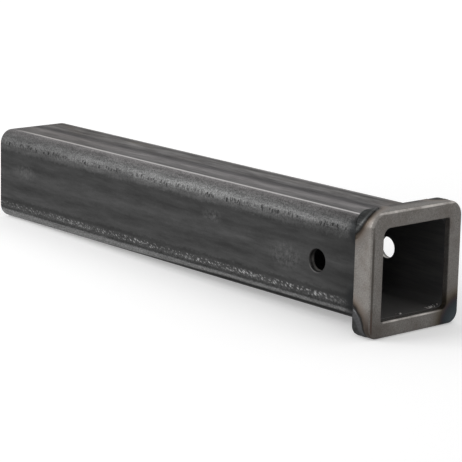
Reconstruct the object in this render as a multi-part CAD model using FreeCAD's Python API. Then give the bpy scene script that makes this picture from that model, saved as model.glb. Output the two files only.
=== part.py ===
import FreeCAD, Part
import os
from math import cos, radians, sin, sqrt

# Receiver tube: a length of square steel tube with a reinforcing collar welded round its mouth.
# Millimetres. X runs along the tube and out of its mouth, Y along the hitch pin, Z is up.
# The origin is on the tube's centre line, midway along the axis of the pin hole.

# Square tube, rolled from 3/16 in strip
tube_length = 457.2
tube_width = 76.2
tube_wall = 4.76
tube_corner = 11.5
tube_end_break = 0.5

# Pin hole, drilled through both side walls for a 5/8 in hitch pin
pin_hole_diameter = 16.5
pin_hole_break = 0.5
pin_setback = 63.2

# Reinforcing collar: a socket for the tube's end, closed in front by a lip round the opening
collar_fit = 0.3
collar_wall = 7.6
collar_depth = 17.3
collar_top_corner = 12.0
collar_bottom_corner = 9.0
collar_front_round = 2.2
collar_rear_round = 0.8
collar_lip = 5.0

# Opening in the lip: set back a little from the tube's bore, with a radius of its own in each corner,
# in the order far top, near top, near bottom, far bottom
opening_step = 0.51
opening_corners = [2.5, 6.5, 1.5, 4.5]
opening_round = 1.3

# Corner welds: each fills a crescent notch in the collar's rear edge and slopes down onto the tube
notch_reach = 11.4
notch_half_width = 14.9
weld_crown = 0.5
weld_toe = 0.4
weld_ridge_round = 3.0
weld_least_round = 0.1

# Widths across the flats that follow from the tube
bore_width = tube_width - 2 * tube_wall
collar_width = tube_width + 2 * (collar_fit + collar_wall)
opening_width = bore_width + 2 * opening_step

# Corner radii in the order of opening_corners
collar_corners = [collar_top_corner] * 2 + [collar_bottom_corner] * 2

# The beads' two legs are equal, so they slope at 45 degrees, and end a little above the tube. Their corners are
# tighter than the collar's, so they stand proud there by the crown, but stay wider than the slope.
weld_leg = collar_fit + collar_wall - weld_toe
weld_corners = [
    max(corner - weld_crown / (sqrt(2) - 1), weld_leg + weld_least_round) for corner in collar_corners
]

# Places along X
mouth = pin_setback
tube_front = mouth - collar_lip
tube_rear = tube_front - tube_length
collar_rear = mouth - collar_depth
weld_start = collar_rear - weld_leg

# A circle through the notch's two ends and its foremost point
notch_radius = (notch_reach ** 2 + notch_half_width ** 2) / (2 * notch_reach)
notch_centre = collar_rear + notch_reach - notch_radius

# Places nearer than this count as one
same_place = 1e-6

# The four corners of the section, as the signs of Y and Z
corners = {
    "far_top": (1, 1),
    "near_top": (-1, 1),
    "near_bottom": (-1, -1),
    "far_bottom": (1, -1),
}


def square_outline(x, width, radii):
    """Outline across X of a square on the centre line, with one radius for each corner."""
    half = width / 2
    slant = sqrt(0.5)
    bends = []
    for quarter, radius in enumerate(radii):
        turn = radians(90 * quarter)
        centre = half - radius
        flat = [(half, centre), (centre + radius * slant, centre + radius * slant), (centre, half)]
        bends.append([
            FreeCAD.Vector(x, y * cos(turn) - z * sin(turn), y * sin(turn) + z * cos(turn))
            for y, z in flat
        ])
    edges = []
    for number, (start, middle, end) in enumerate(bends):
        next_start = bends[(number + 1) % len(bends)][0]
        edges.append(Part.Arc(start, middle, end).toShape())
        edges.append(Part.LineSegment(end, next_start).toShape())
    return Part.Wire(edges)


def square_bar(x_from, x_to, width, radii):
    """Solid square bar along X with rounded corners."""
    face = Part.Face(square_outline(x_from, width, radii))
    return face.extrude(FreeCAD.Vector(x_to - x_from, 0, 0))


def end_face(solid, x):
    """The flat face that closes a solid at a place along X."""
    flat = [face for face in solid.Faces if face.BoundBox.XLength < same_place]
    return min(flat, key=lambda face: abs(face.BoundBox.XMin - x))


def inner_edges(face):
    """Edges round the holes in a face."""
    return [edge for wire in face.Wires if not wire.isSame(face.OuterWire) for edge in wire.Edges]


def tube_envelope(x_from, x_to, gap=0.0):
    """Outside of the tube as a solid bar, grown all round by a gap."""
    return square_bar(x_from, x_to, tube_width + 2 * gap, [tube_corner + gap] * 4)


def pin_hole_cutter():
    """Drill for both side walls, with a small countersink at each outer face."""
    radius = pin_hole_diameter / 2
    depth = 2 * pin_hole_break
    start = FreeCAD.Vector(0, -tube_width, 0)
    drill = Part.makeCylinder(radius, 2 * tube_width, start, FreeCAD.Vector(0, 1, 0))
    for sign in (1, -1):
        base = FreeCAD.Vector(0, sign * (tube_width / 2 - pin_hole_break), 0)
        sink = Part.makeCone(radius, radius + depth, depth, base, FreeCAD.Vector(0, sign, 0))
        drill = drill.fuse(sink)
    return drill


def receiver_tube():
    """Rolled square tube with its pin hole and a broken edge at the open end."""
    # The outside keeps a joint line where the welds start, so each flat behind it is clear of the collar
    outside = tube_envelope(tube_rear, weld_start).fuse(tube_envelope(weld_start, tube_front))
    bore = square_bar(tube_rear, tube_front, bore_width, [tube_corner - tube_wall] * 4)
    tube = outside.cut(bore)
    tube = tube.makeChamfer(tube_end_break, end_face(tube, tube_rear).Edges)
    return tube.cut(pin_hole_cutter())


def notch_cutter(side, up):
    """Round cutter along a corner's diagonal that opens the collar's rear edge for the weld."""
    base = FreeCAD.Vector(notch_centre, 0, 0)
    return Part.makeCylinder(notch_radius, collar_width, base, FreeCAD.Vector(0, side, up))


def reinforcing_collar():
    """Collar with its opening, rounded edges, socket for the tube and four corner notches."""
    block = square_bar(collar_rear, mouth, collar_width, collar_corners)
    collar = block.cut(square_bar(collar_rear, mouth, opening_width, opening_corners))
    collar = collar.makeFillet(collar_front_round, end_face(collar, mouth).OuterWire.Edges)
    collar = collar.makeFillet(opening_round, inner_edges(end_face(collar, mouth)))
    collar = collar.makeFillet(collar_rear_round, end_face(collar, collar_rear).OuterWire.Edges)
    collar = collar.cut(tube_envelope(tube_front - collar_depth, tube_front, collar_fit))
    for side, up in corners.values():
        collar = collar.cut(notch_cutter(side, up))
    return collar


def weld_bar():
    """Outer form of the four beads: a bar as wide as the collar, sloped down onto the tube at its rear, with
    the ridge above the slope rounded."""
    bar = square_bar(weld_start, collar_rear + notch_reach, collar_width, weld_corners)
    bar = bar.makeChamfer(weld_leg, end_face(bar, weld_start).OuterWire.Edges)
    across = [edge for edge in bar.Edges if edge.BoundBox.XLength < same_place]
    ridge = [edge for edge in across if abs(edge.BoundBox.XMin - collar_rear) < same_place]
    return bar.makeFillet(weld_ridge_round, ridge)


def corner_weld(bar, side, up):
    """One bead: the part of the bar that fills this corner's notch and lies on the tube."""
    bead = bar.common(notch_cutter(side, up))
    return bead.cut(tube_envelope(tube_rear, mouth))


def save(shape, node):
    """Write one piece, checked to be whole and closed."""
    solids = shape.Solids
    if len(solids) != 1 or not solids[0].isValid():
        raise ValueError(node + " is not one sound solid")
    solids[0].exportStep("parts/" + node + ".step")
    print(node, "volume cm3", round(solids[0].Volume / 1000, 2))


os.makedirs("parts", exist_ok=True)
save(receiver_tube(), "receiver_tube")
save(reinforcing_collar(), "reinforcing_collar")
bar = weld_bar()
for place, (side, up) in corners.items():
    save(corner_weld(bar, side, up), "corner_weld_" + place)
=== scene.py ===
import math
import random

import bmesh
import bpy
import numpy as np
from mathutils import Matrix, Vector


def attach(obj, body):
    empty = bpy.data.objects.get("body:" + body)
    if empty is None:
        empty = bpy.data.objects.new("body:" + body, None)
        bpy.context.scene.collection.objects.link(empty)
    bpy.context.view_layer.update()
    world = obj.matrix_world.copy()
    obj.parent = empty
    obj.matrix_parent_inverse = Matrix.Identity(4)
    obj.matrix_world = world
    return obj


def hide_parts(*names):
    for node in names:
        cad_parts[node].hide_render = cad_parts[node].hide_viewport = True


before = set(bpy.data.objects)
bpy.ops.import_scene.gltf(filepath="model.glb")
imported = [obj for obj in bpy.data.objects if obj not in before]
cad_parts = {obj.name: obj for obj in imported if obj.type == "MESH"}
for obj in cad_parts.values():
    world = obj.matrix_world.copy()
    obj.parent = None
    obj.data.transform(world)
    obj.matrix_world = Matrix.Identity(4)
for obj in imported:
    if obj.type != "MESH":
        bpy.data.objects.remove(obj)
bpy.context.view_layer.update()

MM = 0.001

# Sizes in millimetres that the finishes and the beads are set out from. X runs out of the mouth, Y along the
# hitch pin towards the far side, Z up, and the origin is midway along the pin hole.
TUBE_HALF = 38.1
TUBE_CORNER = 11.5
TUBE_CORNER_CENTRE = TUBE_HALF - TUBE_CORNER
TUBE_REAR = -399.0
BORE_HALF = 33.34
BORE_CORNER = 6.74
BORE_CORNER_CENTRE = BORE_HALF - BORE_CORNER
PIN_HOLE_RADIUS = 8.25
PIN_HOLE_BREAK = 0.5
COLLAR_HALF = 46.0
COLLAR_TOP_CORNER = 12.0
COLLAR_BOTTOM_CORNER = 9.0
COLLAR_REAR = 45.9
COLLAR_FRONT = 63.2
NOTCH_RADIUS = 15.437
NOTCH_CENTRE = 41.863
NOTCH_HALF_WIDTH = 14.9
WELD_START = 38.4
WELD_CROWN = 0.5

# How far a finish reaches past the face it belongs to
SKIN = 0.3

# Places round the tube's section, counted from a side's middle over the corner on to the top
TOP_CORNER_TANGENT = TUBE_CORNER_CENTRE + TUBE_CORNER * math.pi / 2
ROLL_LINE_HIGHLIGHT = TOP_CORNER_TANGENT + 1.0
SPECKLE_MIDDLE = 35.0
FLECK_MIDDLE = 24.9

# Heat colours from 3 mm inside the weld pool's edge to 9 mm outside it: oxide, a dark toe that is partly painted
# shade, brown, a pale bloom
TEMPER_FROM, TEMPER_TO = -3.0, 9.0
TEMPER_AND_TOE_SHADE_COLOURS = [
    (0.0, "343434"), (0.14, "343434"), (0.21, "1a1918"), (0.27, "2a2521"), (0.35, "4a423b"), (0.46, "665d55"),
    (0.62, "746c66"), (1.0, "76716c")]


def colour(hex_code):
    """Linear colour, with alpha, of an sRGB hex code."""
    parts = [int(hex_code[i:i + 2], 16) / 255 for i in (0, 2, 4)]
    return [c / 12.92 if c <= 0.04045 else ((c + 0.055) / 1.055) ** 2.4 for c in parts] + [1.0]


def plug(tree, node, socket, value):
    """Give an input of a node a plain value, a socket, or the first output in use of another node."""
    if isinstance(value, bpy.types.Node):
        value = next(output for output in value.outputs if output.enabled)
    if isinstance(value, bpy.types.NodeSocket):
        tree.links.new(value, node.inputs[socket])
    else:
        node.inputs[socket].default_value = value


def add(tree, kind, inputs=None, **settings):
    """Add a node with its settings and its inputs."""
    node = tree.nodes.new(kind)
    for name, value in settings.items():
        setattr(node, name, value)
    for socket, value in (inputs or {}).items():
        plug(tree, node, socket, value)
    return node


def maths(tree, operation, *values, **settings):
    """One step of arithmetic on plain numbers."""
    return add(tree, "ShaderNodeMath", dict(enumerate(values)), operation=operation, **settings)


def vector_maths(tree, operation, *values):
    """One step of arithmetic on points or colours."""
    return add(tree, "ShaderNodeVectorMath", dict(enumerate(values)), operation=operation)


def product(tree, value, *factors):
    """All the values multiplied together."""
    for factor in factors:
        value = maths(tree, "MULTIPLY", value, factor)
    return value


def apart(tree, value, place):
    """How far a value is from a place, either way."""
    return maths(tree, "ABSOLUTE", maths(tree, "SUBTRACT", value, place))


def ramp(tree, value, start, end, low=0.0, high=1.0, **settings):
    """From low at the start to high at the end, and level beyond them."""
    return add(tree, "ShaderNodeMapRange", {
        "Value": value, "From Min": start, "From Max": end, "To Min": low, "To Max": high}, **settings)


def soft_ramp(tree, value, start, end, low=0.0, high=1.0):
    """A ramp that eases in and out."""
    return ramp(tree, value, start, end, low, high, interpolation_type="SMOOTHSTEP")


def between(tree, share, low, high):
    """Low where the share is 0, high where it is 1."""
    return ramp(tree, share, 0.0, 1.0, low, high)


def scaled(tree, vector, factor):
    """A point or a colour times a factor."""
    return add(tree, "ShaderNodeVectorMath", {0: vector, "Scale": factor}, operation="SCALE")


def cover(tree, share, under, over):
    """A colour covered by another, by a share from 0 to 1."""
    return add(tree, "ShaderNodeMix", {0: share, 6: under, 7: over}, data_type="RGBA")


def colour_ramp(tree, share, stops):
    """Colours along a share from 0 to 1."""
    node = add(tree, "ShaderNodeValToRGB", {"Fac": share})
    elements = node.color_ramp.elements
    while len(elements) < len(stops):
        elements.new(1.0)
    for element, (position, hex_code) in zip(elements, stops):
        element.position = position
        element.color = colour(hex_code)
    return node


def colour_bands(tree, value, start, end, bands):
    """Colours at places in millimetres along a value, from the start to the end of its span."""
    stops = [((place - start) / (end - start), hex_code) for place, hex_code in bands]
    return colour_ramp(tree, ramp(tree, value, start, end), stops)


def leaning(tree, point, degrees):
    """The point turned about the pin's axis, so that a pattern leans."""
    return add(tree, "ShaderNodeVectorRotate", {
        "Vector": point, "Angle": math.radians(degrees)}, rotation_type="Y_AXIS")


def noise(tree, point, scale, detail, roughness=0.5):
    """Cloudy noise round 0.5, with a scale of one over its size."""
    return add(tree, "ShaderNodeTexNoise", {
        "Vector": point, "Scale": scale, "Detail": detail, "Roughness": roughness})


def bare_tree(owner):
    """The node tree of a material or a world, emptied."""
    owner.use_nodes = True
    owner.node_tree.nodes.clear()
    return owner.node_tree


def new_finish(name, metallic, roughness, glancing):
    """A material with a bare Principled surface, dulled by a tint where it is seen at a glancing angle, and its
    node tree."""
    material = bpy.data.materials.new(name)
    tree = bare_tree(material)
    surface = add(tree, "ShaderNodeBsdfPrincipled", {
        "Metallic": metallic, "Roughness": roughness, "Specular Tint": colour(glancing)})
    add(tree, "ShaderNodeOutputMaterial", {"Surface": surface})
    return material, tree, surface


def place_in_mm(tree):
    """The point on the object in millimetres, its three parts, and how far Y and Z are from the middle."""
    metres = add(tree, "ShaderNodeTexCoord").outputs["Object"]
    point = scaled(tree, metres, 1 / MM)
    parts = add(tree, "ShaderNodeSeparateXYZ", {0: point})
    x, y, z = parts.outputs
    off_y = maths(tree, "ABSOLUTE", y)
    off_z = maths(tree, "ABSOLUTE", z)
    return point, x, y, z, off_y, off_z


def heat_distance(tree, x, z, off_y, off_z):
    """Millimetres outside the edge of the weld pool, less than 0 in it. The lower pools ran 1.5 mm over their
    notches, and the upper ones froze 1.1 mm short of the edge and 1.6 mm further on to the top."""
    upper = maths(tree, "GREATER_THAN", z, 0.0)
    across = maths(tree, "SUBTRACT", off_z, off_y)
    across = product(tree, across, math.sqrt(0.5))
    across = maths(tree, "MULTIPLY_ADD", upper, -1.6, across)
    along = maths(tree, "SUBTRACT", x, NOTCH_CENTRE)
    flat = add(tree, "ShaderNodeCombineXYZ", {"X": along, "Y": across})
    radius = vector_maths(tree, "LENGTH", flat)
    edge = between(tree, upper, NOTCH_RADIUS + 1.5, NOTCH_RADIUS - 1.1)
    return maths(tree, "SUBTRACT", radius, edge)


def tube_finish():
    """Square tube, hot rolled and cold sized: black mill scale with a satin sheen, lighter where the sizing rolls
    bore on its corners, with painted reflection on the corners' arcs and a painted highlight along the edge of the
    top, bands and fine lines drawn along it, and nicks and flecks beside the corners."""
    material, tree, surface = new_finish("hot_rolled_mill_scale", 0.8, 0.45, "c0c0c0")
    point, x, y, z, off_y, off_z = place_in_mm(tree)
    upper = maths(tree, "GREATER_THAN", z, 0.0)
    lower = maths(tree, "SUBTRACT", 1.0, upper)

    # Way round the section in millimetres: 0 at a side's middle, up over the corner to the middle of the top,
    # and the same downwards, less than 0
    high = maths(tree, "SUBTRACT", off_z, TUBE_CORNER_CENTRE)
    wide = maths(tree, "SUBTRACT", off_y, TUBE_CORNER_CENTRE)
    turn = maths(tree, "ARCTAN2", high, wide)
    arc = ramp(tree, turn, 0.0, math.pi / 2, high=TUBE_CORNER * math.pi / 2)
    side_part = maths(tree, "MINIMUM", off_z, TUBE_CORNER_CENTRE)
    top_part = ramp(tree, off_y, TUBE_CORNER_CENTRE, 0.0, high=TUBE_CORNER_CENTRE)
    around = maths(tree, "ADD", side_part, arc)
    around = maths(tree, "ADD", around, top_part)
    direction = maths(tree, "SIGN", z)
    signed = product(tree, around, direction)

    # Lines drawn along the tube about 2 mm apart, blotches of thinner scale about 30 mm long, and grain drawn
    # 1.2 mm coarse so that it shows, though the real grain is about a tenth of that
    tilted = leaning(tree, point, -2)
    drawn = vector_maths(tree, "MULTIPLY", tilted, (0.030, 0.45, 0.45))
    lines = noise(tree, drawn, 1.0, 4.0, 0.65)
    flattened = vector_maths(tree, "MULTIPLY", point, (0.035, 0.2, 0.2))
    blotch = noise(tree, flattened, 1.0, 5.0, 0.65)
    grain = noise(tree, point, 1 / 1.2, 3.0, 0.75)

    # Bands round the section, a little ragged but for the lowest: dull on the side, lighter on the arcs of the
    # corners, where they are partly rubbed scale and partly painted reflection of the pale surround
    ragged = noise(tree, point, 1 / 3.0, 5.0, 0.75)
    ragged_mm = ramp(tree, ragged, 0.3, 0.7, -1.6, 1.6)
    raggedness = ramp(tree, signed, -28.0, -22.0, 0.2, 1.0)
    band_place = maths(tree, "MULTIPLY_ADD", ragged_mm, raggedness, signed)
    bands = colour_bands(tree, band_place, -40.0, 50.0, [
        (-36.0, "808080"), (-30.5, "737373"), (-29.2, "3c3c3c"), (-26.0, "444444"), (-20.5, "323232"),
        (-18.0, "424242"), (-14.0, "3e3e3e"), (-7.0, "363636"), (2.0, "434343"), (11.0, "343434"),
        (16.0, "393939"), (21.0, "363636"), (25.0, "545454"), (29.0, "636363"), (34.0, "5e5e5e"),
        (37.0, "6c6b6b"), (39.0, "6e6c6c"), (44.0, "8a8787")])
    top_bands = colour_bands(tree, y, -30.0, 30.0, [
        (-26.0, "595758"), (-19.0, "5a5858"), (-10.0, "767373"), (-4.8, "5e5b5c"), (-2.0, "3c3a3b"),
        (2.5, "353334"), (5.5, "504e4e"), (9.0, "605e5e"), (17.0, "646261"), (22.0, "4b4948"),
        (27.0, "3c3a39")])
    on_top = soft_ramp(tree, around, TOP_CORNER_TANGENT - 0.5, TOP_CORNER_TANGENT + 1.5)
    shade = cover(tree, on_top, bands, top_bands)

    # Lines, short streaks and blotches lighten and darken the scale, more on the top than on the side
    slanted = leaning(tree, point, -6)
    slanted = vector_maths(tree, "MULTIPLY", slanted, (0.16, 0.9, 0.9))
    streaks = noise(tree, slanted, 1.0, 3.0, 0.7)
    both = maths(tree, "MULTIPLY_ADD", streaks, 0.6, lines)
    line_tone = ramp(tree, both, 0.55, 1.05, -1.0, 1.0)
    line_depth = between(tree, on_top, 0.06, 0.16)
    line_tone = maths(tree, "MULTIPLY_ADD", line_tone, line_depth, 1.0)
    shade = scaled(tree, shade, line_tone)
    top_depth = ramp(tree, y, -2.0, 10.0, 0.4, 0.65)
    blotch_depth = between(tree, on_top, 0.27, top_depth)
    blotch_tone = ramp(tree, blotch, 0.3, 0.7, -1.0, 1.0)
    blotch_tone = maths(tree, "MULTIPLY_ADD", blotch_tone, blotch_depth, 1.0)
    shade = scaled(tree, shade, blotch_tone)

    # The shoulder's lighter band, partly painted reflection, is lighter along the middle of the tube than at its
    # two ends
    lengthwise = ramp(tree, x, -400.0, 40.0)
    shoulder = ramp(tree, signed, 20.0, 26.0)
    shoulder = maths(tree, "SUBTRACT", shoulder, on_top, use_clamp=True)
    lengthwise_tone = colour_ramp(tree, lengthwise, [
        (0.0, "d8d8d8"), (0.35, "ececec"), (0.62, "fafafa"), (0.80, "e4e4e4"), (1.0, "bababa")])
    shoulder_tone = cover(tree, shoulder, colour("ffffff"), lengthwise_tone)
    shade = vector_maths(tree, "MULTIPLY", shade, shoulder_tone)

    # The sides darken from the pin hole to the collar
    under_shoulder = ramp(tree, around, 27.0, 20.0)
    mouthward = ramp(tree, x, -12.0, 30.0, high=0.34)
    darker = product(tree, mouthward, under_shoulder)
    darker = maths(tree, "SUBTRACT", 1.0, darker)
    shade = scaled(tree, shade, darker)

    # Speckle of bright rubbed grain, thickest on the upper shoulder
    from_speckle = apart(tree, around, SPECKLE_MIDDLE)
    speckle_band = soft_ramp(tree, from_speckle, 14.0, 6.0)
    speckle_tone = ramp(tree, grain, 0.35, 0.65, -0.55, 0.55)
    speckle_tone = maths(tree, "MULTIPLY_ADD", speckle_tone, speckle_band, 1.0)
    shade = scaled(tree, shade, speckle_tone)

    # Painted highlight along the edge of the top, about 3 mm wide, over a line polished by the sizing rolls
    from_line = apart(tree, around, ROLL_LINE_HIGHLIGHT)
    line = soft_ramp(tree, from_line, 2.3, 0.4)
    line_fade = ramp(tree, x, TUBE_REAR, -360.0)
    line_breakup = ramp(tree, ragged, 0.3, 0.6, 0.7, 1.0)
    line_side = ramp(tree, y, 5.0, 15.0, 1.0, 0.1)
    line = product(tree, line, line_fade, line_breakup, line_side)
    shade = cover(tree, line, shade, colour("d2cfce"))

    # Roll nicks: short dark marks across the line where side and corner meet, in clusters about 26 mm apart. They
    # are large ones 5.1 mm apart and small ones 2.3 mm apart
    cluster_place = product(tree, x, 1 / 26.0)
    cluster = add(tree, "ShaderNodeTexNoise", {
        "W": cluster_place, "Scale": 1.0, "Detail": 2.0}, noise_dimensions="1D")
    nick = 0.0
    for spacing, half_width, gate_from, gate_to in ((5.1, 1.2, 0.40, 0.50), (2.3, 0.6, 0.46, 0.56)):
        along = product(tree, x, 1 / spacing)
        cell = add(tree, "ShaderNodeTexVoronoi", {"W": along, "Scale": 1.0}, voronoi_dimensions="1D")
        reach = half_width / spacing
        mark = soft_ramp(tree, cell.outputs["Distance"], reach, reach * 0.4)
        chance = add(tree, "ShaderNodeSeparateColor", {0: cell.outputs["Color"]})
        depth = between(tree, chance.outputs["Blue"], 0.45, 1.0)
        middle = between(tree, chance.outputs["Red"], 27.2, 29.6)
        height = between(tree, chance.outputs["Green"], 0.8, 1.8)
        above = apart(tree, around, middle)
        above = maths(tree, "DIVIDE", above, height)
        tall = soft_ramp(tree, above, 1.1, 0.75)
        gate = ramp(tree, cluster, gate_from, gate_to)
        mark = product(tree, mark, tall, gate, depth)
        nick = maths(tree, "MAXIMUM", mark, nick)
    nick = product(tree, nick, upper)
    shade = cover(tree, nick, shade, colour("1c1c1c"))

    # Flecks of bare steel rubbed through the scale above the lower corners, 2 to 3 mm long and slanting down
    # towards the mouth, fainter near the collar and the rear
    lean = leaning(tree, point, -28)
    lean = vector_maths(tree, "MULTIPLY", lean, (1 / 3.9, 1.0, 1 / 1.35))
    lean = add(tree, "ShaderNodeSeparateXYZ", {0: lean})
    lean = add(tree, "ShaderNodeCombineXYZ", {"X": lean.outputs["X"], "Y": lean.outputs["Z"]})
    dash = add(tree, "ShaderNodeTexVoronoi", {"Vector": lean, "Scale": 1.0}, voronoi_dimensions="2D")
    chance = add(tree, "ShaderNodeSeparateColor", {0: dash.outputs["Color"]})
    heap = noise(tree, point, 1 / 16.0, 2.0)
    crowded = ramp(tree, heap, 0.35, 0.58, 0.55, 1.0)
    reach = between(tree, chance.outputs["Red"], 0.15, 0.66)
    reach = product(tree, reach, crowded)
    core = product(tree, reach, 0.2)
    bareness = between(tree, chance.outputs["Green"], 0.3, 1.0)
    fleck = ramp(tree, dash.outputs["Distance"], reach, core, high=bareness)
    from_flecks = apart(tree, around, FLECK_MIDDLE)
    fleck_band = soft_ramp(tree, from_flecks, 3.0, 1.0)
    faint_in_front = ramp(tree, x, 2.0, 26.0, 1.0, 0.35)
    faint_behind = ramp(tree, x, -330.0, -260.0, 0.6, 1.0)
    fleck = product(tree, fleck, fleck_band, lower, faint_in_front, faint_behind)
    shade = cover(tree, fleck, shade, colour("b0b0b0"))

    # Painted shade on the underside of the lower corners, reaching higher towards the mouth
    underside_shade_edge = ramp(tree, x, -380.0, -110.0, -41.5, -33.0)
    underside_shade = maths(tree, "SUBTRACT", underside_shade_edge, signed)
    underside_shade = ramp(tree, underside_shade, -0.8, 1.2)
    shade = cover(tree, underside_shade, shade, colour("0c0c0c"))

    # Three scuffs on the side, 25 to 40 mm long, where something rubbed the scale thin
    thin = ramp(tree, ragged, 0.40, 0.68, high=0.55)
    for scuff_x, scuff_z, long, tall in (
            (-362.0, 6.0, 20.0, 8.0), (-118.0, 12.0, 14.0, 7.0), (-34.0, -3.0, 21.0, 14.0)):
        away = vector_maths(tree, "SUBTRACT", point, (scuff_x, 0, scuff_z))
        away = vector_maths(tree, "MULTIPLY", away, (1 / long, 0, 1 / tall))
        away = vector_maths(tree, "LENGTH", away)
        scuff = product(tree, soft_ramp(tree, away, 1.1, 0.2), thin)
        shade = cover(tree, scuff, shade, colour("6a6a6a"))

    # The top is browner and darker at its rear, with a thin rust bloom in patches on its far half
    rear_top = ramp(tree, x, -240.0, -320.0)
    rear_top = product(tree, rear_top, on_top)
    darker_at_rear = cover(tree, rear_top, colour("ffffff"), colour("f2efec"))
    shade = vector_maths(tree, "MULTIPLY", shade, darker_at_rear)
    patch = noise(tree, flattened, 0.6, 4.0, 0.6)
    patch = ramp(tree, patch, 0.50, 0.62, high=0.55)
    far_top = ramp(tree, y, -2.0, 12.0)
    rearward = ramp(tree, x, -300.0, -120.0, 1.0, 0.2)
    patch = product(tree, patch, far_top, rearward, on_top)
    shade = cover(tree, patch, shade, colour("4f4337"))

    # Brown film, thinning out 46 mm from the far top weld, which was run last
    far_top_weld = (42.0, 38.0, TUBE_HALF)
    from_weld = vector_maths(tree, "DISTANCE", point, far_top_weld)
    film_reach = maths(tree, "MULTIPLY_ADD", ragged_mm, 2.0, from_weld)
    film = soft_ramp(tree, film_reach, 46.0, 24.0, high=0.75)
    film = product(tree, film, upper)
    shade = cover(tree, film, shade, colour("544d47"))

    # Heat of the welds and painted shade: dark scale and the beads' shade behind and under each bead, reaching
    # further back on the sides
    heat = heat_distance(tree, x, z, off_y, off_z)
    facing = maths(tree, "SUBTRACT", off_z, off_y)
    scorch_and_shade_from = ramp(tree, facing, -1.0, 5.0, 26.0, 31.5)
    behind_bead = soft_ramp(tree, x, scorch_and_shade_from, 36.0)
    by_corner = ramp(tree, heat, 3.0, -0.5)
    on_side = ramp(tree, signed, -36.0, -28.0, 0.4, 1.0)
    scorch_and_shade = product(tree, behind_bead, by_corner, on_side)
    shade = cover(tree, scorch_and_shade, shade, colour("222324"))

    # Pin hole walls are drilled, with a brighter ring behind the countersink. Low down the walls have painted
    # light, as if lit from above, the countersink has painted shade, and the side is rubbed along the hole's rear
    # edge
    from_pin = add(tree, "ShaderNodeCombineXYZ", {"X": x, "Y": z})
    from_pin = vector_maths(tree, "LENGTH", from_pin)
    drilled = maths(tree, "LESS_THAN", from_pin, PIN_HOLE_RADIUS + PIN_HOLE_BREAK)
    drill_depth = ramp(tree, off_y, BORE_HALF, TUBE_HALF)
    drilled_wall = colour_ramp(tree, drill_depth, [
        (0.0, "3a3937"), (0.14, "757370"), (0.42, "757370"), (0.58, "4a4948")])
    # Painted light on the walls low down
    lit_low_down = ramp(tree, z, -3.5, -7.0, 0.45, 2.2)
    drilled_wall = scaled(tree, drilled_wall, lit_low_down)
    low_down = ramp(tree, z, -3.5, -6.0)
    # Painted shade in the countersink low down
    sunk = ramp(tree, off_y, TUBE_HALF - 1.3, TUBE_HALF - 0.7)
    sunk = product(tree, sunk, low_down)
    drilled_wall = cover(tree, sunk, drilled_wall, colour("121212"))
    rim_middle = PIN_HOLE_RADIUS + 0.95
    rim = apart(tree, from_pin, rim_middle)
    rim_share = ramp(tree, x, 4.0, -3.0, high=0.24)
    rim = ramp(tree, rim, 0.8, 0.3, high=rim_share)
    rim = product(tree, rim, low_down)
    shade = cover(tree, rim, shade, colour("8c8b8a"))
    shade = cover(tree, drilled, shade, drilled_wall)

    # The bore is scaled and paler towards its floor, and the rear end is saw cut
    section_reach = maths(tree, "MAXIMUM", off_y, off_z)
    inside = maths(tree, "LESS_THAN", section_reach, BORE_HALF + SKIN)
    bore = colour_ramp(tree, lines, [
        (0.30, "404041"), (0.50, "484848"), (0.70, "504f4e")])
    paler_floor = ramp(tree, z, -18.0, -33.0, high=0.46)
    off_far_wall = ramp(tree, y, 33.0, 25.0, low=0.15)
    paler_floor = product(tree, paler_floor, off_far_wall)
    bore = cover(tree, paler_floor, bore, colour("83817f"))
    shade = cover(tree, inside, shade, bore)
    sawn = maths(tree, "LESS_THAN", x, TUBE_REAR + SKIN)
    shade = cover(tree, sawn, shade, colour("6f6d6a"))
    plug(tree, surface, "Base Color", shade)

    # The scale is satin, smoother where it is rubbed and rough in the bore
    smooth = ramp(tree, blotch, 0.3, 0.7, 0.50, 0.40)
    smooth = add(tree, "ShaderNodeMix", {0: line, 2: smooth, 3: 0.30})
    smooth = add(tree, "ShaderNodeMix", {0: inside, 2: smooth, 3: 0.65})
    plug(tree, surface, "Roughness", smooth)

    # Relief of the lines and grain, about 0.05 mm, with the nicks 0.2 mm deep
    relief = maths(tree, "MULTIPLY_ADD", lines, 0.5, grain)
    relief = maths(tree, "MULTIPLY_ADD", nick, -2.0, relief)
    relief = maths(tree, "MULTIPLY_ADD", fleck, -0.2, relief)
    bump = add(tree, "ShaderNodeBump", {"Height": relief, "Strength": 0.5, "Distance": 0.1 * MM})
    plug(tree, surface, "Normal", bump)
    return material


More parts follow.
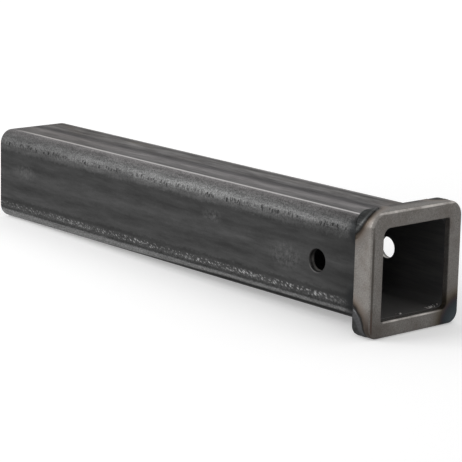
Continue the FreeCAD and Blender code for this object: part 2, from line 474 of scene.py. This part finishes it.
def collar_finish():
    """Forged steel collar, shot blasted and left bare: a dull, warm grey with a fine even grain, a film of brown
    in the hollows, painted highlights on its front edges, painted light on its near side, and temper colours from
    the heat of the welds."""
    material, tree, surface = new_finish("blasted_forged_steel", 0.75, 0.5, "d8d8d8")
    point, x, y, z, off_y, off_z = place_in_mm(tree)
    section_reach = maths(tree, "MAXIMUM", off_y, off_z)

    # Blasted grain drawn 0.9 mm coarse so that it shows, though real grit leaves about 0.2 mm, and slow stains
    grain = noise(tree, point, 1 / 0.9, 3.0, 0.75)
    stain = noise(tree, point, 1 / 12.0, 5.0, 0.6)
    shade = colour_ramp(tree, grain, [
        (0.30, "5a5754"), (0.48, "6c6966"), (0.70, "807d79")])
    stained = ramp(tree, stain, 0.45, 0.70, high=0.5)
    shade = cover(tree, stained, shade, colour("57504a"))

    # Painted light on the near side, which faces the key light, more so towards its front edge
    on_near = ramp(tree, y, -44.0, -45.5)
    near_side_light = ramp(tree, x, COLLAR_REAR, 58.0, 0.12, 0.30)
    near_side_light = maths(tree, "MULTIPLY_ADD", near_side_light, on_near, 1.0)
    shade = scaled(tree, shade, near_side_light)

    # Painted highlights on the front edge of the top, the front's near top corner and the opening's bottom edge,
    # in patches
    front = ramp(tree, x, 61.7, 62.4)
    top_edge = soft_ramp(tree, z, 44.0, 44.6)
    by_opening = ramp(tree, off_y, 33.0, 31.0)
    sill = soft_ramp(tree, z, -35.4, -34.8)
    low_down = maths(tree, "LESS_THAN", z, -30.0)
    sill = product(tree, sill, by_opening, low_down)
    edge_highlights = maths(tree, "MAXIMUM", top_edge, sill)
    edge_highlights = product(tree, edge_highlights, front)
    corner_y = maths(tree, "SUBTRACT", y, COLLAR_TOP_CORNER - COLLAR_HALF)
    corner_y = maths(tree, "MINIMUM", corner_y, 0.0)
    corner_z = maths(tree, "SUBTRACT", z, COLLAR_HALF - COLLAR_TOP_CORNER)
    corner_z = maths(tree, "MAXIMUM", corner_z, 0.0)
    corner_reach = add(tree, "ShaderNodeCombineXYZ", {"X": corner_y, "Y": corner_z})
    corner_reach = vector_maths(tree, "LENGTH", corner_reach)
    corner_highlight = soft_ramp(tree, corner_reach, 9.6, 10.4, high=0.4)
    sideways = maths(tree, "LESS_THAN", corner_y, -2.0)
    upward = maths(tree, "GREATER_THAN", corner_z, 2.0)
    corner_highlight = product(tree, corner_highlight, sideways, upward)
    edge_highlights = maths(tree, "MAXIMUM", edge_highlights, corner_highlight)
    patchy = ramp(tree, stain, 0.38, 0.58, 0.85, 0.3)
    edge_highlights = product(tree, edge_highlights, patchy)
    shade = cover(tree, edge_highlights, shade, colour("c9c4bf"))

    # Near side's front edge has a dark line, rust brown low down, and the top is darker towards its rear edge
    near_edge = soft_ramp(tree, y, -42.8, -43.4)
    edge_line = ramp(tree, x, 62.75, 63.0)
    line_height = ramp(tree, z, 34.0, 22.0, 0.3, 0.75)
    near_edge = product(tree, near_edge, edge_line, line_height)
    rust_low = ramp(tree, z, -22.0, -34.0)
    edge_line_colour = cover(tree, rust_low, colour("38342f"), colour("40281f"))
    shade = cover(tree, near_edge, shade, edge_line_colour)
    on_top = ramp(tree, z, 44.0, 45.5)
    dull_from = ramp(tree, y, 0.0, 35.0, 54.0, 60.0)
    dull = ramp(tree, x, dull_from, 48.0, high=0.9)
    dull = product(tree, dull, on_top)
    shade = cover(tree, dull, shade, colour("262321"))

    # Temper colours beside each weld pool: a dark toe, partly painted shade, then brown, then a pale bloom
    heat = heat_distance(tree, x, z, off_y, off_z)
    wobble = ramp(tree, stain, 0.3, 0.7, -0.7, 0.7)
    heated = maths(tree, "ADD", heat, wobble)
    heated = ramp(tree, heated, TEMPER_FROM, TEMPER_TO)
    temper = colour_ramp(tree, heated, TEMPER_AND_TOE_SHADE_COLOURS)
    tempered = ramp(tree, heated, 0.9, 0.45)
    outside = maths(tree, "GREATER_THAN", section_reach, TUBE_HALF + 0.5)
    behind_front = ramp(tree, x, 62.4, 61.4)
    tempered = product(tree, tempered, outside, behind_front)
    shade = cover(tree, tempered, shade, temper)

    # Smoke from the near top weld dulled the side next to it
    smoked = ramp(tree, heat, 12.0, 5.0, 1.0, 0.76)
    in_smoke = ramp(tree, z, 0.0, 20.0)
    in_smoke = product(tree, in_smoke, on_near)
    smoked = add(tree, "ShaderNodeMix", {0: in_smoke, 2: 1.0, 3: smoked})
    shade = scaled(tree, shade, smoked)

    # Brown film round the near bottom corner of the front edge, thinner on the front than on the side
    from_corner = vector_maths(tree, "DISTANCE", point, (COLLAR_FRONT, -COLLAR_HALF, -COLLAR_HALF))
    film_share = ramp(tree, x, 61.6, 62.8, 1.0, 0.55)
    film = ramp(tree, from_corner, 26.0, 9.0, high=film_share)
    past_toe = ramp(tree, heated, 0.26, 0.42)
    film = product(tree, film, past_toe)
    shade = cover(tree, film, shade, colour("3c3530"))

    # Far bottom corner was welded hottest, so the colours run through to its front: blue for the first 14 mm, a
    # thin purple line, then olive and straw, with the corner's far edge burnt black
    hot_point = vector_maths(tree, "SUBTRACT", point, (COLLAR_FRONT, COLLAR_HALF, -COLLAR_HALF))
    hot_point = vector_maths(tree, "MULTIPLY", hot_point, (1.3, 0.85, 0.82))
    hot = vector_maths(tree, "LENGTH", hot_point)
    hot = maths(tree, "ADD", hot, wobble)
    hot = ramp(tree, hot, 0.0, 28.0)
    hot_colour = colour_ramp(tree, hot, [
        (0.0, "40474b"), (0.25, "394044"), (0.46, "282e31"), (0.52, "2d272d"), (0.60, "3c352c"),
        (0.70, "4c4439"), (1.0, "6c6966")])
    hot_share = ramp(tree, hot, 1.0, 0.60)
    shade = cover(tree, hot_share, shade, hot_colour)
    burnt = ramp(tree, hot, 0.75, 0.55)
    far_edge = ramp(tree, y, 44.4, 45.2)
    burnt = product(tree, burnt, far_edge)
    shade = cover(tree, burnt, shade, colour("080808"))
    plug(tree, surface, "Base Color", shade)

    rough = ramp(tree, grain, 0.3, 0.7, 0.58, 0.42)
    rough = add(tree, "ShaderNodeMix", {0: burnt, 2: rough, 3: 1.0})
    plug(tree, surface, "Roughness", rough)
    bump = add(tree, "ShaderNodeBump", {"Height": grain, "Strength": 0.6, "Distance": 0.12 * MM})
    plug(tree, surface, "Normal", bump)
    return material


def weld_finish():
    """Weld bead laid by wire feed: blue-black oxide with a smooth, half glossy skin over its ripples, with painted
    light making it paler towards the tube's top and bottom and on the lower beads, and a painted highlight on the
    rib inside the pool's edge, broad and soft on the lower beads. The upper beads have painted shade in a trough
    behind the rib.
    Outside the edge the steel melted brown into the collar."""
    material, tree, surface = new_finish("oxidised_weld_bead", 0.85, 0.38, "a0a0a0")
    point, x, y, z, off_y, off_z = place_in_mm(tree)
    skin = noise(tree, point, 1 / 3.5, 3.0, 0.55)
    shade = colour_ramp(tree, skin, [
        (0.30, "2c2c2c"), (0.50, "343535"), (0.70, "3d3e3e")])
    heat = heat_distance(tree, x, z, off_y, off_z)
    upper = maths(tree, "GREATER_THAN", z, 0.0)

    # Painted light: the oxide is paler where it faces the tube's top and bottom, and paler still on the lower
    # beads
    facing = maths(tree, "SUBTRACT", off_z, off_y)
    paler = maths(tree, "MULTIPLY_ADD", upper, -5.0, facing)
    painted_light_tone = ramp(tree, paler, -10.0, 0.0, 0.78, 1.4)
    shade = scaled(tree, shade, painted_light_tone)
    lower_bead_light = between(tree, upper, 1.25, 1.0)
    shade = scaled(tree, shade, lower_bead_light)

    # Painted highlight on the rib inside the pool's edge, and painted shade in the upper beads' trough behind it
    rib_inset = between(tree, upper, 4.0, 2.3)
    from_rib = maths(tree, "ADD", heat, rib_inset)
    from_rib = maths(tree, "ABSOLUTE", from_rib)
    rib_outer = between(tree, upper, 3.2, 1.1)
    rib_inner = between(tree, upper, 1.2, 0.3)
    rib = soft_ramp(tree, from_rib, rib_outer, rib_inner, high=0.6)
    rib_highlight_colour = cover(tree, upper, colour("575759"), colour("525353"))
    shade = cover(tree, rib, shade, rib_highlight_colour)
    from_trough = maths(tree, "ADD", heat, 6.5)
    from_trough = maths(tree, "ABSOLUTE", from_trough)
    trough = soft_ramp(tree, from_trough, 3.4, 1.4, high=0.6)
    sideways = ramp(tree, facing, 3.0, -2.0)
    trough = product(tree, trough, upper, sideways)
    shade = cover(tree, trough, shade, colour("141415"))

    # Brown steel outside the pool's edge
    toe_place = ramp(tree, heat, TEMPER_FROM, TEMPER_TO)
    melted = colour_ramp(tree, toe_place, TEMPER_AND_TOE_SHADE_COLOURS)
    outside = soft_ramp(tree, heat, -1.2, -0.4)
    shade = cover(tree, outside, shade, melted)
    plug(tree, surface, "Base Color", shade)

    rough = ramp(tree, skin, 0.3, 0.7, 0.48, 0.30)
    plug(tree, surface, "Roughness", rough)
    bump = add(tree, "ShaderNodeBump", {"Height": skin, "Strength": 0.25, "Distance": 0.15 * MM})
    plug(tree, surface, "Normal", bump)
    return material


def outline_reach(half, corner, across):
    """How far out along a corner's diagonal a rounded square's outline lies, at a place across that diagonal."""
    across = np.abs(across)
    on_arc = (half - corner) * math.sqrt(2) + np.sqrt(np.maximum(corner ** 2 - across ** 2, 0.0))
    on_flat = half * math.sqrt(2) - across
    return np.where(across <= corner / math.sqrt(2), on_arc, on_flat)


def smooth_piece(name, form, material):
    """A smooth piece made of a finished form, in its material."""
    mesh = bpy.data.meshes.new(name)
    form.to_mesh(mesh)
    form.free()
    mesh.shade_smooth()
    mesh.materials.append(material)
    piece = bpy.data.objects.new(name, mesh)
    bpy.context.scene.collection.objects.link(piece)
    return piece


def weld_bead(name, side, up, seed, material):
    """One bead as a closed, rippled skin: it slopes up from the tube at 45 degrees, rolls over in line with the
    collar's rear edge, fills the crescent notch with a rib and a groove inside its edge, and stands a little
    proud of the collar at the corner."""
    slices, crown_steps, under_steps = 132, 44, 10
    ripple_pitch, ripple_height, ripple_bow = 2.1, 0.13, 3.0
    rib_height, rib_place, rib_width = (0.16 if up > 0 else 0.05), 3.2, 0.9
    groove_depth, groove_place, groove_width = 0.22, 1.2, 0.7
    ridge_round, least_corner, crown_run, start_run = 0.6, 0.5, 3.0, 0.7
    toe_lap, start_lap, sunk, foot_sunk, under, under_flush = 0.6, 0.2, 0.18, 0.15, 0.05, 0.03
    draws = np.random.default_rng(seed).uniform(-1, 1, (3, 2))
    waver, shift = draws[1, 0], draws[2, 0]
    collar_corner = COLLAR_TOP_CORNER if up > 0 else COLLAR_BOTTOM_CORNER
    tightening = WELD_CROWN / (math.sqrt(2) - 1)
    half_width = NOTCH_HALF_WIDTH * 1.01
    across = half_width * np.sin(np.linspace(-1, 1, slices) * math.pi / 2 * 0.999)
    edge = np.clip(np.abs(across) / half_width, 0, 1)
    fade = np.sqrt(1 - edge ** 24)
    toe_x = NOTCH_CENTRE + np.sqrt(np.maximum(NOTCH_RADIUS ** 2 - across ** 2, 0.0)) + toe_lap * (1 - edge ** 6)
    start_x = WELD_START - start_lap + 2.0 * edge ** 8 + 0.3 * np.sin(across * 0.7 + waver * 3)
    foot = outline_reach(TUBE_HALF, TUBE_CORNER, across) - foot_sunk
    head = outline_reach(COLLAR_HALF, collar_corner, across)
    run = np.concatenate([[0.0], np.cumsum(np.hypot(np.diff(across), np.diff(head)))])
    rows = []
    for i in range(slices):
        points = []
        for j in range(crown_steps):
            along = 1 - j / (crown_steps - 1)
            x = start_x[i] + (toe_x[i] - start_x[i]) * along
            to_toe = toe_x[i] - x
            behind = COLLAR_REAR - x
            drop = (behind + math.hypot(behind, ridge_round)) / 2
            crown = min(1.0, to_toe / crown_run)
            corner = collar_corner - tightening * crown * crown * (3 - 2 * crown) - drop
            rise = float(outline_reach(COLLAR_HALF - drop, max(corner, least_corner), across[i]))
            rib = rib_height * math.exp(-((to_toe - rib_place) / rib_width) ** 2)
            rib -= groove_depth * math.exp(-((to_toe - groove_place) / groove_width) ** 2)
            wave = run[i] + ripple_bow * (2 * along - 1) ** 2 + 0.4 * shift
            ripple = abs(math.sin(math.pi * wave / ripple_pitch)) - 0.6
            relief = ripple_height * ripple * math.sin(math.pi * along) ** 0.5 + rib - sunk
            up_slope = min(1.0, (x - start_x[i]) / start_run) ** 0.5
            points.append((x, foot[i] + (rise + relief - foot[i]) * up_slope * fade[i]))
        for j in range(1, under_steps):
            share = j / under_steps
            points.append((start_x[i] + (toe_x[i] - start_x[i]) * share, foot[i] - under))
        rows.append(points)
    bead = bmesh.new()
    grid = []
    for i, points in enumerate(rows):
        ring = []
        for x, reach in points:
            out_y = (reach - across[i]) / math.sqrt(2)
            out_z = (reach + across[i]) / math.sqrt(2)
            out_y = min(out_y, COLLAR_HALF - under_flush)
            out_z = min(out_z, COLLAR_HALF - under_flush)
            ring.append(bead.verts.new((x * MM, side * out_y * MM, up * out_z * MM)))
        grid.append(ring)
    count = len(grid[0])
    for i in range(slices - 1):
        for j in range(count):
            k = (j + 1) % count
            bead.faces.new((grid[i][j], grid[i][k], grid[i + 1][k], grid[i + 1][j]))
    bead.faces.new(grid[0][::-1])
    bead.faces.new(grid[-1])
    bmesh.ops.recalc_face_normals(bead, faces=bead.faces)
    piece = smooth_piece(name, bead, material)
    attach(piece, "root")
    return piece


def spatter_finish():
    """Spatter droplets: steel that froze bright, with a thin grey oxide skin."""
    material, tree, surface = new_finish("bright_spatter_steel", 0.9, 0.35, "d8d8d8")
    point = place_in_mm(tree)[0]
    skin = noise(tree, point, 2.0, 2.0)
    shade = colour_ramp(tree, skin, [(0.35, "8a8886"), (0.65, "cfccc9")])
    plug(tree, surface, "Base Color", shade)
    return material


def weld_spatter(material):
    """Droplets thrown from the welds on to the floor of the bore behind the lip, each sunk a third into it."""
    rng = random.Random(7)
    small_drops, height, squash = 26, 0.25, 0.7
    drops = [(55.7, -7.3, 1.15), (53.9, -9.6, 0.35)]
    for _ in range(small_drops):
        drops.append((rng.uniform(53.0, 57.4), rng.uniform(20.0, 31.0), rng.uniform(0.25, 0.7)))
    cloud = bmesh.new()
    for x, y, radius in drops:
        past_flat = max(y - BORE_CORNER_CENTRE, 0.0)
        floor_z = -BORE_CORNER_CENTRE - math.sqrt(BORE_CORNER ** 2 - past_flat ** 2)
        centre = Vector((x, y, floor_z + height * radius))
        place = Matrix.Translation(centre * MM) @ Matrix.Diagonal((1, 1, squash, 1))
        bmesh.ops.create_icosphere(cloud, subdivisions=2, radius=radius * MM, matrix=place)
    piece = smooth_piece("weld_spatter", cloud, material)
    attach(piece, "root")
    return piece


def wear_finish(node, material):
    """Give a CAD node its finish."""
    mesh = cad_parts[node].data
    mesh.materials.clear()
    mesh.materials.append(material)


def studio():
    """Pale floor under the collar's and the tube's rear edges, white surround and soft lights."""
    tilt = math.atan2(COLLAR_HALF - TUBE_HALF, COLLAR_REAR - TUBE_REAR)
    floor_width, gap = 14.0, 0.05
    aim = Vector((-0.17, 0, 0))
    bpy.ops.mesh.primitive_plane_add(size=floor_width)
    floor = bpy.context.object
    floor.name = "studio_floor"
    floor.rotation_euler = (0, tilt, 0)
    floor.location = (COLLAR_REAR * MM, 0, (-COLLAR_HALF - gap) * MM)
    material = bpy.data.materials.new("matt_white_floor")
    tree = bare_tree(material)
    paper = add(tree, "ShaderNodeBsdfDiffuse", {"Color": colour("e6e6e6")})
    seen = seen_directly(tree)
    on_floor = add(tree, "ShaderNodeTexCoord").outputs["Object"]
    away = vector_maths(tree, "LENGTH", on_floor)
    far_lift = ramp(tree, away, 0.4, 2.5, 0.32, 0.60)
    lift = product(tree, seen, far_lift)
    glow = add(tree, "ShaderNodeEmission", {"Strength": lift})
    both = add(tree, "ShaderNodeAddShader", {0: paper, 1: glow})
    add(tree, "ShaderNodeOutputMaterial", {"Surface": both})
    floor.data.materials.append(material)

    world = bpy.data.worlds.new("white_surround")
    bpy.context.scene.world = world
    tree = bare_tree(world)
    seen = seen_directly(tree)
    strength = between(tree, seen, 0.6, 1.0)
    sky = add(tree, "ShaderNodeBackground", {"Color": colour("ffffff"), "Strength": strength})
    add(tree, "ShaderNodeOutputWorld", {"Surface": sky})

    for name, place, size, power in (
        ("key_light", (-0.95, -1.45, 0.75), 1.3, 20.0),
        ("top_light", (-0.10, 0.50, 1.60), 1.2, 3.0),
    ):
        light = bpy.data.lights.new(name, "AREA")
        light.shape = "SQUARE"
        light.size = size
        light.energy = power
        lamp = bpy.data.objects.new(name, light)
        lamp.location = place
        lamp.rotation_euler = (aim - Vector(place)).to_track_quat("-Z", "Y").to_euler()
        bpy.context.scene.collection.objects.link(lamp)


def seen_directly(tree):
    """1 for rays from the camera, and for those that metal or glass sends on, else 0."""
    path = add(tree, "ShaderNodeLightPath")
    seen = maths(tree, "MAXIMUM", path.outputs["Is Camera Ray"], path.outputs["Is Glossy Ray"])
    return maths(tree, "MAXIMUM", seen, path.outputs["Is Transmission Ray"])


def camera():
    """The photograph's view, from the mouth end, to the near side and a little above."""
    place = (1.068438, -1.064493, 0.349581)
    heading, downward, lean = 48.59, 12.545, 1.337
    data = bpy.data.cameras.new("camera")
    data.lens = 163.10
    data.sensor_width = 36.0
    eye = bpy.data.objects.new("camera", data)
    turn = Matrix.Rotation(math.radians(heading), 4, "Z")
    tip = Matrix.Rotation(math.radians(90 - downward), 4, "X")
    roll = Matrix.Rotation(math.radians(lean), 4, "Z")
    eye.matrix_world = Matrix.Translation(place) @ turn @ tip @ roll
    bpy.context.scene.collection.objects.link(eye)
    bpy.context.scene.camera = eye


camera()
studio()
bpy.context.scene.view_settings.view_transform = "Standard"

wear_finish("receiver_tube", tube_finish())
wear_finish("reinforcing_collar", collar_finish())
bead_skin = weld_finish()
for seed, (corner, side, up) in enumerate([
    ("far_top", 1, 1), ("near_top", -1, 1), ("near_bottom", -1, -1), ("far_bottom", 1, -1),
], start=11):
    bead = weld_bead("weld_bead_" + corner, side, up, seed, bead_skin)
    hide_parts("corner_weld_" + corner)
weld_spatter(spatter_finish())
